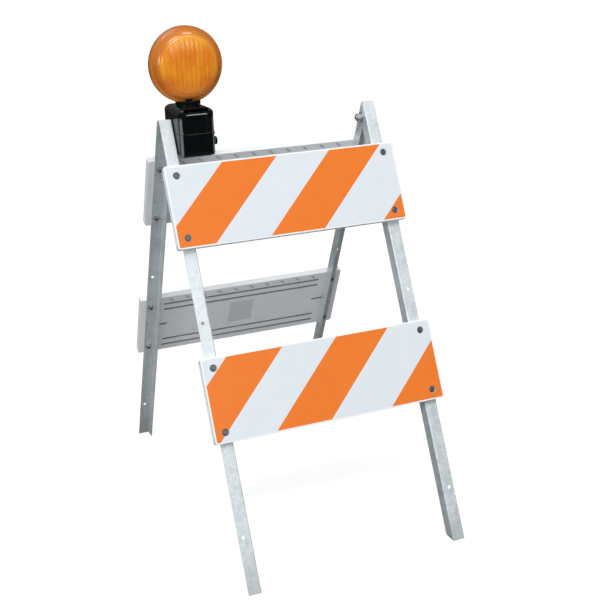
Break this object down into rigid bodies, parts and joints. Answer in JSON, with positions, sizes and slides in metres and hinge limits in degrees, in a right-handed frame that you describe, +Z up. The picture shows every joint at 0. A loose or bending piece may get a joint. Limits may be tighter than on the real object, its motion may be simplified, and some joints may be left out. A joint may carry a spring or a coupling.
{
  "type": "folding traffic barricade",
  "caption": "Folding A-frame road barricade with angle-steel legs, striped reflective panels and a two-way amber warning lamp on one pivot bolt.",
  "frame": {"origin": "on the floor midway between the four feet, with the barricade standing open", "axes": "+X to the right seen from the front, along the panels and the pivot bolts; +Y to the back; +Z up"},
  "size_m": [0.6126, 0.9702, 1.2542],
  "materials": {
    "galvanised_steel": "dull hot-dip galvanised, faint spangle",
    "panel_plastic": "white moulded polyethylene, fine grain",
    "white_sheeting": "silver-white retroreflective sheet",
    "orange_sheeting": "orange retroreflective sheet",
    "plated_steel": "zinc plated, weathered",
    "nylon": "natural nylon",
    "case_black": "black moulded, satin grain",
    "gasket_rubber": "matte",
    "cell_jacket": "printed metal jacket, plain colour",
    "contact_brass": "nickel-flashed spring brass",
    "board_green": "solder-masked laminate",
    "component_black": "moulded epoxy",
    "amber_lens": "clear amber polycarbonate, fluted inside",
    "amber_diode": "clear amber epoxy",
    "wire_red": "insulated lead",
    "slider_red": "moulded"
  },
  "bodies": {
    "front_frame": {"front_left_leg": "galvanised_steel", "front_right_leg": "galvanised_steel", "front_top_panel": "panel_plastic", "front_bottom_panel": "panel_plastic", "front_top_sheet_white": "white_sheeting", "front_top_sheet_orange": "orange_sheeting", "front_bottom_sheet_white": "white_sheeting", "front_bottom_sheet_orange": "orange_sheeting", "front_panel_bolts": "plated_steel", "front_panel_washers": "plated_steel", "front_panel_nuts": "plated_steel", "right_pivot_bolt": "plated_steel", "right_pivot_washers": "plated_steel", "right_pivot_nut": "plated_steel", "lamp_bolt": "plated_steel", "lamp_bolt_washers": "plated_steel", "lamp_bolt_nut": "plated_steel", "pivot_spacers": "nylon"},
    "rear_frame": {"rear_left_leg": "galvanised_steel", "rear_right_leg": "galvanised_steel", "rear_top_panel": "panel_plastic", "rear_bottom_panel": "panel_plastic", "rear_top_sheet_white": "white_sheeting", "rear_top_sheet_orange": "orange_sheeting", "rear_bottom_sheet_white": "white_sheeting", "rear_bottom_sheet_orange": "orange_sheeting", "rear_panel_bolts": "plated_steel", "rear_panel_washers": "plated_steel", "rear_panel_nuts": "plated_steel"},
    "lamp_case": {"battery_tub": "case_black", "case_cover": "case_black", "case_gasket": "gasket_rubber", "case_screws": "plated_steel", "lock_screw": "case_black", "bolt_sleeve": "plated_steel", "batteries": "cell_jacket", "battery_terminals": "contact_brass", "contact_strips": "contact_brass", "contact_springs": "contact_brass", "cell_holder": "case_black", "board_posts": "nylon", "circuit_board": "board_green", "board_components": "component_black", "switch_housing": "component_black", "swivel_washer": "nylon"},
    "lamp_head": {"swivel_collar": "case_black", "swivel_retainer": "plated_steel", "front_lens": "amber_lens", "rear_lens": "amber_lens", "lens_gasket": "gasket_rubber", "lens_screws": "plated_steel", "led_post": "nylon", "led_board": "board_green", "leds": "amber_diode", "photocell": "component_black", "head_leads": "wire_red", "lead_plug": "nylon"},
    "power_switch": {"switch_slider": "slider_red"}
  },
  "joints": [
    {"name": "frame_fold", "type": "hinge", "parent": "front_frame", "child": "rear_frame", "pos_m": [0, 0, 0.99523], "axis": [-1, 0, 0], "range_deg": [0, 50]},
    {"name": "lamp_tilt", "type": "hinge", "parent": "front_frame", "child": "lamp_case", "pos_m": [-0.2105, 0, 0.99523], "axis": [1, 0, 0], "range_deg": [-60, 60]},
    {"name": "head_swivel", "type": "hinge", "parent": "lamp_case", "child": "lamp_head", "pos_m": [-0.2105, 0, 0.99523], "axis": [0, 0, 1], "range_deg": [-90, 90]},
    {"name": "switch_slide", "type": "slide", "parent": "lamp_case", "child": "power_switch", "axis": [1, 0, 0], "range_m": [0, 0.003]}
  ]
}
